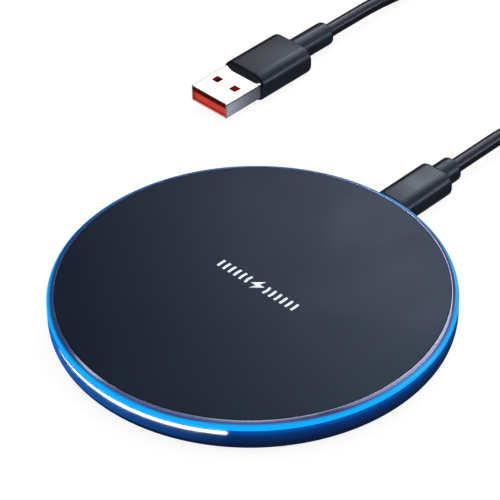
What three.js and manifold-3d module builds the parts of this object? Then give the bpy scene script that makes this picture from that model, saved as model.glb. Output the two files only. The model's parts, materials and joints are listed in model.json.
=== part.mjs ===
// A round wireless charging pad and its USB cable, in millimetres, +Z up.
// The origin is the middle of the pad's underside, on the surface it stands on.
// +Y points to the pad's port, where the cable leaves.
import * as THREE from 'three';
import { mergeVertices } from 'three/addons/utils/BufferGeometryUtils.js';
import Module from 'manifold-3d';

// ---------------------------------------------------------------- driving dimensions
const PAD_DIAMETER = 90;
const PAD_HEIGHT = 7.8; // floor to the top of the panel
const WALL = 1.4; // side wall of the case
const FLOOR = 1.2; // bottom of the case
const FOOT_PROUD = 0.4; // the foot ring stands this far out of the case
const UNDERCUT = 2.0; // the case is this much narrower at its base
const ROUNDING_HEIGHT = 2.4; // height over which the base widens to full size

const PANEL_THICKNESS = 0.95;
const RIM_WIDTH = 1.75; // panel edge to outer edge of the pad
const PANEL_GAP = 0.12; // thin dark line round the panel
const TRIM_WIDTH = 0.62;
const TRIM_DROP = 0.38; // the polished chamfer falls this far
const TRIM_GAP = 0.1;
const LIGHT_BAND = 1.2; // height of the lit ring on the side
const LIGHT_SKIRT = 2.2; // radial thickness of the light guide's skirt

const COIL_OUTER = 22.5;
const COIL_INNER = 9.5;
const COIL_THICKNESS = 1.2;
const FERRITE_MARGIN = 1.9; // the shield reaches this far past the coil
const FERRITE_THICKNESS = 0.9;
const FOAM_RADIUS = 17;
const LEAD_DIAMETER = 0.7;
const LEAD_PITCH = 2.2; // between the inner lead and the outer lead

const BOARD_THICKNESS = 0.8;
const CARRIER_THICKNESS = 0.9;
const TAPE_THICKNESS = 0.08;
const SCREW_INSET = 9.5; // screw circle, from the pad's outer edge
const SCREW_COUNT = 4;
const SCREW_SHANK = 1.6;
const SCREW_HEAD = 3.2;
const SCREW_HEAD_HEIGHT = 0.7;
const FOOT_WIDTH = 5;
const FOOT_GROOVE = 0.55;
const LED_COUNT = 8;

// USB-C, the standard's sizes
const C_PLUG = [8.34, 2.56];
const C_RECEPTACLE = [8.94, 3.16];
const C_TONGUE = [6.69, 0.7];
const C_INSERTION = 6.4;
const C_METAL = 0.25;
const C_OVERMOULD = [9.9, 6.4];
const C_OVERMOULD_ROUND = 2.8;
const C_OVERMOULD_LENGTH = 16.3;
const C_RELIEF_DIAMETER = 6.1;
const C_RELIEF_LENGTH = 5.2;

// USB-A, the standard's sizes
const A_SHELL = [12, 4.5];
const A_METAL = 0.3;
const A_SHELL_LENGTH = 12;
const A_WINDOW = 2.2;
const A_WINDOW_X = 2.95; // from the middle to each window
const A_WINDOW_Y = 6; // from the open end
const A_TONGUE = [11.1, 1.9];
const A_OVERMOULD = [13.6, 7.5];
const A_OVERMOULD_ROUND = 3.1;
const A_OVERMOULD_LENGTH = 17.5;
const A_RELIEF_DIAMETER = 6.2;
const A_RELIEF_LENGTH = 12;
const A_PLUG_X = -60.4; // where the plug lies on the table
const A_PLUG_Y = 46.6; // its open end

const CORD_DIAMETER = 3.6;
const WINDING_CENTRE = [-26, 168]; // middle of the wound-up length
const WINDING_RADIUS = 21.6; // to the middle of its turns
const WINDING_COLUMNS = 3;
const WINDING_LAYERS = 2;
const TIE_WIDTH = 7;
const TIE_THICKNESS = 0.4;

// ---------------------------------------------------------------- clearances
const REST = 0.05; // between pieces that rest on each other
const SLIDING = 0.05; // each side of a plug in its receptacle
const MOULDED = 0.1; // round metal that is moulded into plastic
const LOOSE = 0.2; // round a piece that passes through another
const CORD_GAP = 0.3; // where the cord meets a face

// ---------------------------------------------------------------- levels and radii
const PAD_RADIUS = PAD_DIAMETER / 2;
const CASE_BOTTOM = FOOT_PROUD;
const CASE_FLOOR = CASE_BOTTOM + FLOOR;
const CASE_INNER = PAD_RADIUS - WALL;
const PANEL_BOTTOM = PAD_HEIGHT - PANEL_THICKNESS;
const PANEL_RADIUS = PAD_RADIUS - RIM_WIDTH;
const TRIM_INNER = PANEL_RADIUS + PANEL_GAP;
const TRIM_OUTER = TRIM_INNER + TRIM_WIDTH;
const SHELF = PANEL_BOTTOM - REST; // top of the light guide's inner shelf
const LIP_INNER = TRIM_OUTER + TRIM_GAP;
const LIP_TOP = PAD_HEIGHT - TRIM_DROP;
const WALL_TOP = LIP_TOP - LIGHT_BAND;
const SKIRT_OUTER = CASE_INNER - MOULDED;
const SKIRT_INNER = SKIRT_OUTER - LIGHT_SKIRT;

const PORT_Z = CASE_BOTTOM + C_OVERMOULD[1] / 2;
const C_FACE = PAD_RADIUS + 0.15; // front face of the plug's overmould
const C_TIP = C_FACE - C_INSERTION;
const RECEPTACLE_FRONT = PAD_RADIUS - 0.5;
const RECEPTACLE_BASE = C_TIP - 0.4; // front of the receptacle's base
const RECEPTACLE_BACK = RECEPTACLE_BASE - 1.2;

const BOARD_TOP = PORT_Z + 0.1;
const BOARD_BOTTOM = BOARD_TOP - BOARD_THICKNESS;
const BOARD_OUTER = SKIRT_INNER - 0.5;
const COMPONENT_Z = BOARD_TOP + REST;
const CARRIER_TOP = PANEL_BOTTOM - TAPE_THICKNESS - 2 * REST;
const CARRIER_BOTTOM = CARRIER_TOP - CARRIER_THICKNESS;
const COIL_TOP = PANEL_BOTTOM - LOOSE;
const COIL_BOTTOM = COIL_TOP - COIL_THICKNESS;
const FERRITE_TOP = COIL_BOTTOM - 2 * REST;
const FERRITE_BOTTOM = FERRITE_TOP - FERRITE_THICKNESS;
const FERRITE_RADIUS = COIL_OUTER + FERRITE_MARGIN;
const OPENING_RADIUS = FERRITE_RADIUS + 0.4; // middle opening of the carrier
const BOARD_INNER = FERRITE_RADIUS + 0.8;
const SKIRT_BOTTOM = BOARD_TOP + 0.1;

const SCREW_CIRCLE = PAD_RADIUS - SCREW_INSET;
const POST_RADIUS = SCREW_HEAD / 2 + 0.75;
const CARRIER_POST_RADIUS = SCREW_SHANK / 2 + 1.1;
const GROOVE_TOP = CASE_BOTTOM + FOOT_GROOVE;
const HEAD_BOTTOM = GROOVE_TOP + REST;
const HEAD_TOP = HEAD_BOTTOM + SCREW_HEAD_HEIGHT;
const SCREW_TOP = CARRIER_BOTTOM - 0.1;

const C_BACK = C_FACE + C_OVERMOULD_LENGTH;
const C_RELIEF_START = C_BACK + REST;
const C_RELIEF_END = C_RELIEF_START + C_RELIEF_LENGTH;
const A_Z = A_OVERMOULD[1] / 2;
const A_FACE = A_PLUG_Y + A_SHELL_LENGTH;
const A_BACK = A_FACE + A_OVERMOULD_LENGTH;
const A_RELIEF_START = A_BACK + REST;
const A_RELIEF_END = A_RELIEF_START + A_RELIEF_LENGTH;
const POCKET = 3; // how far a plug's shell reaches into its overmould

const CORD_RADIUS = CORD_DIAMETER / 2;
const WINDING_HALF = (WINDING_COLUMNS * CORD_DIAMETER) / 2;
const WINDING_BOTTOM = TIE_THICKNESS + REST;
const WINDING_TOP = WINDING_BOTTOM + WINDING_LAYERS * CORD_DIAMETER;
const WINDING_OUTER = WINDING_RADIUS + WINDING_HALF;
const WINDING_INNER = WINDING_RADIUS - WINDING_HALF;
const OUTER_TURN = WINDING_OUTER - CORD_RADIUS;

// Facets round a full circle
const FINE = 80;
const ROUND = 40;
const SMALL = 16;

// ---------------------------------------------------------------- finishes
function finish(color, roughness, metalness) {
  return new THREE.MeshStandardMaterial({ color, roughness, metalness });
}
const panelBlack = () => finish(0x2b3341, 0.55, 0);
const polishedTrim = () => finish(0xa3a9cc, 0.2, 1);
const litAcrylic = () => finish(0x1590f0, 0.15, 0);
const caseBlack = () => finish(0x161b26, 0.2, 0);
const footSilicone = () => finish(0x24262b, 0.85, 0);
const plainSteel = () => finish(0xb8bcc4, 0.3, 1);
const carrierPlastic = () => finish(0xd8d8d4, 0.6, 0);
const tapeWhite = () => finish(0xe6e2d8, 0.8, 0);
const copperWire = () => finish(0xb4622f, 0.35, 1);
const ferriteGrey = () => finish(0x3c3d40, 0.6, 0.2);
const foamGrey = () => finish(0x56585c, 0.95, 0);
const boardGreen = () => finish(0x12402a, 0.4, 0);
const chipBlack = () => finish(0x17181a, 0.5, 0);
const ceramicTan = () => finish(0xb59a72, 0.5, 0);
const ledWhite = () => finish(0xf2f0e4, 0.35, 0);
const plugBlack = () => finish(0x2c313d, 0.35, 0);
const cordBlack = () => finish(0x23242e, 0.4, 0);
const contactBlack = () => finish(0x1c1d20, 0.45, 0);
const tongueRed = () => finish(0xc8301c, 0.4, 0);
const contactGold = () => finish(0xd9b45a, 0.25, 1);
const tieBlack = () => finish(0x1d1d20, 0.9, 0);

// ---------------------------------------------------------------- joining and cutting
const wasm = await Module();
wasm.setup();

function solid(geometry) {
  const bare = new THREE.BufferGeometry();
  bare.setAttribute('position', geometry.getAttribute('position').clone());
  if (geometry.index) {
    bare.setIndex(geometry.index.clone());
  }
  const merged = mergeVertices(bare, 1e-4);
  const corners = merged.index.array;
  const kept = [];
  for (let i = 0; i < corners.length; i += 3) {
    const [a, b, c] = [corners[i], corners[i + 1], corners[i + 2]];
    if (a !== b && b !== c && c !== a) {
      kept.push(a, b, c);
    }
  }
  const vertProperties = new Float32Array(merged.getAttribute('position').array);
  const triVerts = new Uint32Array(kept);
  return new wasm.Manifold(new wasm.Mesh({ numProp: 3, vertProperties, triVerts }));
}

function shapeOf(manifold) {
  const mesh = manifold.getMesh();
  const geometry = new THREE.BufferGeometry();
  geometry.setAttribute('position', new THREE.BufferAttribute(mesh.vertProperties, 3));
  geometry.setIndex(new THREE.BufferAttribute(mesh.triVerts, 1));
  return geometry;
}

function joined(base, ...others) {
  return shapeOf(others.reduce((sum, other) => sum.add(solid(other)), solid(base)));
}

function cut(base, ...tools) {
  return shapeOf(tools.reduce((rest, tool) => rest.subtract(solid(tool)), solid(base)));
}

// ---------------------------------------------------------------- basic forms
// Turns a profile of [radius, height] points about Z. It climbs on its outer side.
function turned(profile, facets = ROUND) {
  const points = profile.map(([radius, height]) => new THREE.Vector2(radius, height));
  return new THREE.LatheGeometry(points, facets).rotateX(Math.PI / 2);
}

function ring(inner, outer, bottom, top) {
  return turned([[inner, bottom], [outer, bottom], [outer, top], [inner, top], [inner, bottom]]);
}

function disc(radius, bottom, top, facets = ROUND) {
  return turned([[0, bottom], [radius, bottom], [radius, top], [0, top]], facets);
}

// A box from its lowest to its highest corner
function block([x0, y0, z0], [x1, y1, z1]) {
  const geometry = new THREE.BoxGeometry(x1 - x0, y1 - y0, z1 - z0);
  return geometry.translate((x0 + x1) / 2, (y0 + y1) / 2, (z0 + z1) / 2);
}

function roundedRect([width, height], radius) {
  const x = width / 2 - radius;
  const y = height / 2 - radius;
  const outline = new THREE.Shape();
  outline.absarc(x, -y, radius, -Math.PI / 2, 0);
  outline.absarc(x, y, radius, 0, Math.PI / 2);
  outline.absarc(-x, y, radius, Math.PI / 2, Math.PI);
  outline.absarc(-x, -y, radius, Math.PI, 1.5 * Math.PI);
  return outline;
}

// A slot's outline: straight top and bottom, half circles at the sides
function stadium([width, height]) {
  const radius = height / 2;
  const x = width / 2 - radius;
  const outline = new THREE.Shape();
  outline.absarc(x, 0, radius, -Math.PI / 2, Math.PI / 2);
  outline.absarc(-x, 0, radius, Math.PI / 2, 1.5 * Math.PI);
  return outline;
}

function grown([width, height], by) {
  return [width + 2 * by, height + 2 * by];
}

function hollow(outer, inner) {
  outer.holes.push(inner);
  return outer;
}

// Extrudes an outline drawn in X and Z from one Y to another, at height z.
function alongY(outline, from, to, z, curveSegments = 3) {
  const options = { depth: to - from, bevelEnabled: false, curveSegments };
  return new THREE.ExtrudeGeometry(outline, options).rotateX(Math.PI / 2).translate(0, to, z);
}

// The same with its two end edges rounded
function roundedAlongY(outline, from, to, z, round) {
  const options = {
    depth: to - from - 2 * round,
    bevelThickness: round,
    bevelSize: round,
    bevelOffset: -round,
    bevelSegments: 2,
    curveSegments: 3,
  };
  return new THREE.ExtrudeGeometry(outline, options).rotateX(Math.PI / 2).translate(0, to - round, z);
}

// Extrudes an outline drawn in Y and Z from one X to another.
function alongX(outline, from, to) {
  const options = { depth: to - from, bevelEnabled: false, curveSegments: 2 };
  const turn = new THREE.Matrix4().makeBasis(
    new THREE.Vector3(0, 1, 0),
    new THREE.Vector3(0, 0, 1),
    new THREE.Vector3(1, 0, 0),
  );
  return new THREE.ExtrudeGeometry(outline, options).applyMatrix4(turn).translate(from, 0, 0);
}

// A round wire or cord through the given points
function tube(points, diameter, steps, sides) {
  const section = new THREE.Shape();
  section.absarc(0, 0, diameter / 2, 0, 2 * Math.PI);
  const places = points.map((point) => new THREE.Vector3(...point));
  const path = new THREE.CatmullRomCurve3(places, false, 'centripetal');
  return new THREE.ExtrudeGeometry(section, { steps, extrudePath: path, curveSegments: sides / 2 });
}

const object = new THREE.Group();

function add(name, geometry, material) {
  const mesh = new THREE.Mesh(geometry, material);
  mesh.name = name;
  object.add(mesh);
  return mesh;
}

// Angles of equal steps round the pad, from a first angle, in radians
function steps(count, first) {
  return Array.from({ length: count }, (_, i) => first + (i * 2 * Math.PI) / count);
}

const SCREW_PLACES = steps(SCREW_COUNT, Math.PI / 4).map((angle) => (
  [SCREW_CIRCLE * Math.cos(angle), SCREW_CIRCLE * Math.sin(angle)]
));

// One copy of a turned shape at each screw
function atScrews(make) {
  return SCREW_PLACES.map(([x, y]) => make().translate(x, y, 0));
}

// The space kept free round the receptacle inside the pad
function portClearance() {
  const [width, height] = grown(C_RECEPTACLE, LOOSE);
  return block(
    [-width / 2, RECEPTACLE_BACK - LOOSE, PORT_Z - height / 2],
    [width / 2, PAD_RADIUS, PORT_Z + height / 2],
  );
}

// ---------------------------------------------------------------- pad: outer pieces
function topPanel() {
  const edge = 0.15;
  return turned([
    [0, PANEL_BOTTOM],
    [PANEL_RADIUS, PANEL_BOTTOM],
    [PANEL_RADIUS, PAD_HEIGHT - edge],
    [PANEL_RADIUS - edge, PAD_HEIGHT],
    [0, PAD_HEIGHT],
  ], FINE);
}

function trimRing() {
  const land = 0.08; // narrow flat before the chamfer
  return turned([
    [TRIM_INNER, PANEL_BOTTOM],
    [TRIM_OUTER, PANEL_BOTTOM],
    [TRIM_OUTER, LIP_TOP],
    [TRIM_INNER + land, PAD_HEIGHT],
    [TRIM_INNER, PAD_HEIGHT],
    [TRIM_INNER, PANEL_BOTTOM],
  ], FINE);
}

// L-shaped in section: a skirt inside the case that takes the light in, and a head whose
// rounded outer edge lets it out.
function lightRing() {
  const width = PAD_RADIUS - LIP_INNER;
  const shoulder = [0, 1, 2].map((i) => {
    const angle = (i * Math.PI) / 4;
    return [LIP_INNER + width * Math.cos(angle), LIP_TOP - width + width * Math.sin(angle)];
  });
  const profile = [
    [SKIRT_INNER, SKIRT_BOTTOM],
    [SKIRT_OUTER, SKIRT_BOTTOM],
    [SKIRT_OUTER, WALL_TOP + REST],
    [PAD_RADIUS, WALL_TOP + REST],
    ...shoulder,
    [LIP_INNER, SHELF],
    [SKIRT_INNER, SHELF],
    [SKIRT_INNER, SKIRT_BOTTOM],
  ];
  return cut(turned(profile, FINE), portClearance());
}

// The outer profile of the case, from its base to the full radius: a quarter ellipse
function caseRounding() {
  const count = 3;
  return Array.from({ length: count + 1 }, (_, i) => {
    const angle = (i * Math.PI) / (2 * count);
    const radius = PAD_RADIUS - UNDERCUT + UNDERCUT * Math.sin(angle);
    return [radius, CASE_BOTTOM + ROUNDING_HEIGHT * (1 - Math.cos(angle))];
  });
}

function bottomCase() {
  const tray = turned([
    [0, CASE_BOTTOM],
    ...caseRounding(),
    [PAD_RADIUS, WALL_TOP],
    [CASE_INNER, WALL_TOP],
    [CASE_INNER, CASE_FLOOR],
    [0, CASE_FLOOR],
  ], FINE);
  const posts = atScrews(() => disc(POST_RADIUS, CASE_FLOOR - 0.2, BOARD_BOTTOM - REST, SMALL));
  const groove = ring(
    SCREW_CIRCLE - FOOT_WIDTH / 2,
    SCREW_CIRCLE + FOOT_WIDTH / 2,
    CASE_BOTTOM - 1,
    GROOVE_TOP,
  );
  const headBores = atScrews(() => disc(SCREW_HEAD / 2 + 0.15, CASE_BOTTOM - 1, HEAD_TOP + REST, SMALL));
  const shankBores = atScrews(() => disc(SCREW_SHANK / 2 + 0.15, CASE_BOTTOM - 1, BOARD_TOP, SMALL));
  const port = alongY(stadium(grown(C_RECEPTACLE, 0.15)), CASE_INNER - 2, PAD_RADIUS + 1, PORT_Z);
  return cut(joined(tray, ...posts), groove, ...headBores, ...shankBores, port);
}

function footRing() {
  const edge = 0.2;
  const inner = SCREW_CIRCLE - FOOT_WIDTH / 2 + MOULDED;
  const outer = SCREW_CIRCLE + FOOT_WIDTH / 2 - MOULDED;
  const top = GROOVE_TOP - REST;
  return turned([
    [inner + edge, 0],
    [outer - edge, 0],
    [outer, edge],
    [outer, top],
    [inner, top],
    [inner, edge],
    [inner + edge, 0],
  ]);
}

// Pan-headed screw, head down, with a cross recess
function caseScrew() {
  const shank = SCREW_SHANK / 2;
  const recess = 0.35;
  const arm = SCREW_HEAD * 0.3;
  const body = turned([
    [0, HEAD_BOTTOM],
    [SCREW_HEAD / 2, HEAD_BOTTOM],
    [SCREW_HEAD / 2, HEAD_TOP],
    [shank, HEAD_TOP],
    [shank, SCREW_TOP - shank],
    [0, SCREW_TOP],
  ], SMALL);
  const slots = [[arm, 0.22], [0.22, arm]].map(([x, y]) => (
    block([-x, -y, HEAD_BOTTOM - 1], [x, y, HEAD_BOTTOM + recess])
  ));
  return cut(body, ...slots);
}

// ---------------------------------------------------------------- pad: inner frame
function coilCarrier() {
  const plate = ring(OPENING_RADIUS, SKIRT_INNER - LOOSE, CARRIER_BOTTOM, CARRIER_TOP);
  const posts = atScrews(() => disc(CARRIER_POST_RADIUS, BOARD_TOP + REST, CARRIER_BOTTOM + 0.2, SMALL));
  const bores = atScrews(() => disc(SCREW_SHANK / 2 + 0.15, BOARD_TOP - 1, SCREW_TOP + 0.2, SMALL));
  const notch = block(
    [OPENING_RADIUS - 2, -LEAD_DIAMETER - 0.6, CARRIER_BOTTOM - 1],
    [BOARD_INNER + 4.5, LEAD_PITCH + LEAD_DIAMETER + 0.6, CARRIER_TOP + 1],
  );
  return cut(joined(plate, ...posts), ...bores, notch, portClearance());
}

function panelTape() {
  return ring(
    BOARD_INNER + 5,
    SKIRT_INNER - 2 * LOOSE,
    CARRIER_TOP + REST,
    CARRIER_TOP + REST + TAPE_THICKNESS,
  );
}

// ---------------------------------------------------------------- pad: coil pack
function transmitCoil() {
  const edge = 0.3;
  return turned([
    [COIL_INNER + edge, COIL_BOTTOM],
    [COIL_OUTER - edge, COIL_BOTTOM],
    [COIL_OUTER, COIL_BOTTOM + edge],
    [COIL_OUTER, COIL_TOP - edge],
    [COIL_OUTER - edge, COIL_TOP],
    [COIL_INNER + edge, COIL_TOP],
    [COIL_INNER, COIL_TOP - edge],
    [COIL_INNER, COIL_BOTTOM + edge],
    [COIL_INNER + edge, COIL_BOTTOM],
  ]);
}

// The shield has a radial slot that the inner lead runs out through.
function ferriteShield() {
  const half = LEAD_DIAMETER / 2 + LOOSE;
  const slot = block(
    [COIL_INNER - 3, -half, FERRITE_BOTTOM - 1],
    [FERRITE_RADIUS + 1, half, FERRITE_TOP + 1],
  );
  return cut(disc(FERRITE_RADIUS, FERRITE_BOTTOM, FERRITE_TOP), slot);
}

function foamSpacer() {
  return disc(FOAM_RADIUS, CASE_FLOOR + REST, FERRITE_BOTTOM - REST);
}

function thermistor() {
  const bottom = FERRITE_TOP + REST;
  return turned([
    [0, bottom],
    [1, bottom],
    [1, bottom + 0.5],
    [0.6, bottom + 0.9],
    [0, bottom + 1.05],
  ], SMALL);
}

const LEAD_END_X = BOARD_INNER + 2.8;
const LEAD_END_Z = COMPONENT_Z + LEAD_DIAMETER / 2;

function innerLead() {
  const top = (COIL_TOP + COIL_BOTTOM) / 2;
  const inSlot = (FERRITE_TOP + FERRITE_BOTTOM) / 2;
  const start = COIL_INNER - LEAD_DIAMETER / 2 - 0.25;
  return tube([
    [start, 0, top],
    [start - 0.6, 0, (top + inSlot) / 2],
    [start + 0.3, 0, inSlot],
    [(start + FERRITE_RADIUS) / 2, 0, inSlot],
    [FERRITE_RADIUS - 0.5, 0, inSlot],
    [LEAD_END_X - 1.2, 0, LEAD_END_Z + 0.1],
    [LEAD_END_X, 0, LEAD_END_Z],
  ], LEAD_DIAMETER, 14, 6);
}

function outerLead() {
  const top = (COIL_TOP + COIL_BOTTOM) / 2;
  return tube([
    [COIL_OUTER + 0.2, LEAD_PITCH, top],
    [FERRITE_RADIUS, LEAD_PITCH, top],
    [LEAD_END_X - 2.2, LEAD_PITCH, (top + LEAD_END_Z) / 2 + 0.3],
    [LEAD_END_X - 1, LEAD_PITCH, LEAD_END_Z + 0.1],
    [LEAD_END_X, LEAD_PITCH, LEAD_END_Z],
  ], LEAD_DIAMETER, 8, 6);
}

// ---------------------------------------------------------------- pad: circuit board
// A ring with a notch for the receptacle, so the receptacle sits at the board's own height
function mainBoard() {
  const outline = new THREE.Shape();
  outline.absarc(0, 0, BOARD_OUTER, 0, 2 * Math.PI);
  const middle = new THREE.Path();
  middle.absarc(0, 0, BOARD_INNER, 0, 2 * Math.PI);
  outline.holes.push(middle);
  const options = { depth: BOARD_THICKNESS, bevelEnabled: false, curveSegments: ROUND / 2 };
  const plate = new THREE.ExtrudeGeometry(outline, options).translate(0, 0, BOARD_BOTTOM);
  const holes = atScrews(() => disc(SCREW_SHANK / 2 + LOOSE, BOARD_BOTTOM - 1, BOARD_TOP + 1, SMALL));
  return cut(plate, ...holes, portClearance());
}

// A component on the board: its size, its angle round the pad in degrees and its radius
function addComponent(name, [width, depth, height], degrees, radius, material) {
  const angle = THREE.MathUtils.degToRad(degrees);
  const mesh = add(name, new THREE.BoxGeometry(width, depth, height), material);
  mesh.position.set(radius * Math.cos(angle), radius * Math.sin(angle), COMPONENT_Z + height / 2);
  mesh.rotation.z = angle - Math.PI / 2;
}

function addComponents() {
  const middle = (BOARD_INNER + BOARD_OUTER) / 2;
  addComponent('controller_chip', [5, 5, 0.8], 112, middle, chipBlack());
  addComponent('bridge_chip', [4, 4, 0.8], 68, middle, chipBlack());
  addComponent('power_inductor', [5, 5, 1.2], 157, middle, chipBlack());
  [8, 15, 22, 29].forEach((degrees, i) => {
    addComponent(`resonant_capacitor_${i + 1}`, [2.5, 3.2, 1], degrees, middle + 1, ceramicTan());
  });
  [124, 146].forEach((degrees, i) => {
    addComponent(`bulk_capacitor_${i + 1}`, [1.6, 3.2, 1], degrees, BOARD_INNER + 3, ceramicTan());
  });
  steps(LED_COUNT, Math.PI / LED_COUNT).forEach((angle, i) => {
    const degrees = THREE.MathUtils.radToDeg(angle);
    addComponent(`led_${i + 1}`, [1.8, 1, 0.8], degrees, BOARD_OUTER - 0.8, ledWhite());
  });
}

function receptacleShell() {
  const outline = hollow(stadium(C_RECEPTACLE), stadium(grown(C_RECEPTACLE, -C_METAL)));
  return alongY(outline, RECEPTACLE_BACK, RECEPTACLE_FRONT, PORT_Z);
}

function receptacleTongue() {
  const [width, height] = C_TONGUE;
  const base = alongY(
    stadium(grown(C_RECEPTACLE, -C_METAL - SLIDING)),
    RECEPTACLE_BACK,
    RECEPTACLE_BASE,
    PORT_Z,
  );
  const tongue = block(
    [-width / 2, RECEPTACLE_BASE - 0.3, PORT_Z - height / 2],
    [width / 2, RECEPTACLE_FRONT - 0.9, PORT_Z + height / 2],
  );
  return joined(base, tongue);
}

// ---------------------------------------------------------------- cable: plug at the pad
function cShell() {
  const outline = hollow(stadium(C_PLUG), stadium(grown(C_PLUG, -C_METAL)));
  return alongY(outline, C_TIP, C_FACE + POCKET, PORT_Z);
}

// Sleeve of plastic inside the plug, with the slot that the receptacle's tongue enters
function cContactBlock() {
  const outline = hollow(
    stadium(grown(C_PLUG, -C_METAL - SLIDING)),
    roundedRect(grown(C_TONGUE, 0.12), 0.2),
  );
  return alongY(outline, C_TIP + LOOSE, C_FACE + POCKET - LOOSE, PORT_Z);
}

function cOvermould() {
  const body = roundedAlongY(roundedRect(C_OVERMOULD, C_OVERMOULD_ROUND), C_FACE, C_BACK, PORT_Z, 0.5);
  const pocket = alongY(stadium(grown(C_PLUG, MOULDED)), C_FACE - 1, C_FACE + POCKET + REST, PORT_Z);
  return cut(body, pocket);
}

// Round sleeve along +Y from the origin, its far edge rounded
function reliefSleeve(diameter, length, round) {
  const radius = diameter / 2;
  const corner = [0, 1, 2].map((i) => {
    const angle = (i * Math.PI) / 4;
    return [radius - round + round * Math.cos(angle), length - round + round * Math.sin(angle)];
  });
  return turned([[0, 0], [radius, 0], ...corner, [0, length]], 24).rotateX(-Math.PI / 2);
}

// ---------------------------------------------------------------- cable: plug at the far end
function aShell() {
  const inner = grown(A_SHELL, -A_METAL);
  const outline = hollow(roundedRect(A_SHELL, 0.5), roundedRect(inner, 0.25));
  const tubeShell = alongY(outline, A_PLUG_Y, A_FACE + POCKET, A_Z, 2).translate(A_PLUG_X, 0, 0);
  const half = A_WINDOW / 2;
  const y = A_PLUG_Y + A_WINDOW_Y;
  const windows = [-A_WINDOW_X, A_WINDOW_X].map((x) => (
    block([A_PLUG_X + x - half, y - half, A_Z - 5], [A_PLUG_X + x + half, y + half, A_Z + 5])
  ));
  return cut(tubeShell, ...windows);
}

const A_TONGUE_BOTTOM = A_Z - A_SHELL[1] / 2 + A_METAL + MOULDED;
const A_TONGUE_TOP = A_TONGUE_BOTTOM + A_TONGUE[1];
const A_TONGUE_FRONT = A_PLUG_Y + 0.6;
const A_BLOCK_FRONT = A_PLUG_Y + 9.6; // where the block fills the shell's height

// L-shaped in side view: a low tongue in front and a full-height block behind
function aTongue() {
  const top = A_Z + A_SHELL[1] / 2 - A_METAL - MOULDED;
  const back = A_FACE + POCKET - LOOSE;
  const nose = 0.3;
  const side = new THREE.Shape([
    new THREE.Vector2(A_TONGUE_FRONT, A_TONGUE_BOTTOM),
    new THREE.Vector2(back, A_TONGUE_BOTTOM),
    new THREE.Vector2(back, top),
    new THREE.Vector2(A_BLOCK_FRONT, top),
    new THREE.Vector2(A_BLOCK_FRONT, A_TONGUE_TOP),
    new THREE.Vector2(A_TONGUE_FRONT + nose, A_TONGUE_TOP),
    new THREE.Vector2(A_TONGUE_FRONT, A_TONGUE_TOP - nose),
  ]);
  return alongX(side, A_PLUG_X - A_TONGUE[0] / 2, A_PLUG_X + A_TONGUE[0] / 2);
}

// One flat spring contact on the tongue
function aContact(x) {
  const width = 1;
  return block(
    [A_PLUG_X + x - width / 2, A_TONGUE_FRONT + 1, A_TONGUE_TOP + REST],
    [A_PLUG_X + x + width / 2, A_BLOCK_FRONT - LOOSE, A_TONGUE_TOP + REST + 0.2],
  );
}

function aOvermould() {
  const body = roundedAlongY(roundedRect(A_OVERMOULD, A_OVERMOULD_ROUND), A_FACE, A_BACK, A_Z, 0.6);
  const pocket = alongY(roundedRect(grown(A_SHELL, MOULDED), 0.5), A_FACE - 1, A_FACE + POCKET + REST, A_Z, 2);
  return cut(body, pocket).translate(A_PLUG_X, 0, 0);
}

// ---------------------------------------------------------------- cable: cord
const LYING = CORD_RADIUS + REST; // height of the cord's middle where it lies on the table
// The cord is clear of the winding this far before the winding's middle.
const MEETING = Math.sqrt(WINDING_OUTER ** 2 - (OUTER_TURN - CORD_RADIUS) ** 2) + CORD_GAP;

// From the pad's plug to the winding's outermost lower turn
function cordFromPad() {
  const end = WINDING_CENTRE[1] - MEETING;
  const lowTurn = WINDING_BOTTOM + CORD_RADIUS;
  return tube([
    [0, C_RELIEF_END + CORD_GAP, PORT_Z],
    [0, 76, PORT_Z],
    [0, 84, PORT_Z - 0.1],
    [0.2, 92, 3],
    [0.5, 100, 2.2],
    [0.9, 108, LYING],
    [1.2, 117, LYING],
    [1.1, 127, LYING],
    [0.4, 137, LYING + 0.1],
    [-0.4, 146, LYING + 0.3],
    [WINDING_CENTRE[0] + OUTER_TURN, end, lowTurn],
  ], CORD_DIAMETER, 12, 8);
}

// From the winding's outermost upper turn to the far plug
function cordToPlug() {
  const end = WINDING_CENTRE[1] - MEETING;
  const highTurn = WINDING_BOTTOM + CORD_RADIUS + CORD_DIAMETER;
  return tube([
    [A_PLUG_X, A_RELIEF_END + CORD_GAP, A_Z],
    [A_PLUG_X, 97, A_Z],
    [A_PLUG_X, 105, A_Z - 0.1],
    [A_PLUG_X, 112, 3.1],
    [-60.3, 119, 2.3],
    [-59.7, 125.5, LYING + 0.1],
    [-58, 132.5, LYING + 0.6],
    [-55.2, 140, LYING + 1.6],
    [-52.6, 147, LYING + 2.9],
    [WINDING_CENTRE[0] - OUTER_TURN, end, highTurn],
  ], CORD_DIAMETER, 10, 8);
}

// The wound-up length, as one ring of its outer shape
function cordWinding() {
  const edge = CORD_RADIUS / 2;
  const ringShape = turned([
    [WINDING_INNER + edge, WINDING_BOTTOM],
    [WINDING_OUTER - edge, WINDING_BOTTOM],
    [WINDING_OUTER, WINDING_BOTTOM + edge],
    [WINDING_OUTER, WINDING_TOP - edge],
    [WINDING_OUTER - edge, WINDING_TOP],
    [WINDING_INNER + edge, WINDING_TOP],
    [WINDING_INNER, WINDING_TOP - edge],
    [WINDING_INNER, WINDING_BOTTOM + edge],
    [WINDING_INNER + edge, WINDING_BOTTOM],
  ]);
  return ringShape.translate(WINDING_CENTRE[0], WINDING_CENTRE[1], 0);
}

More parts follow.
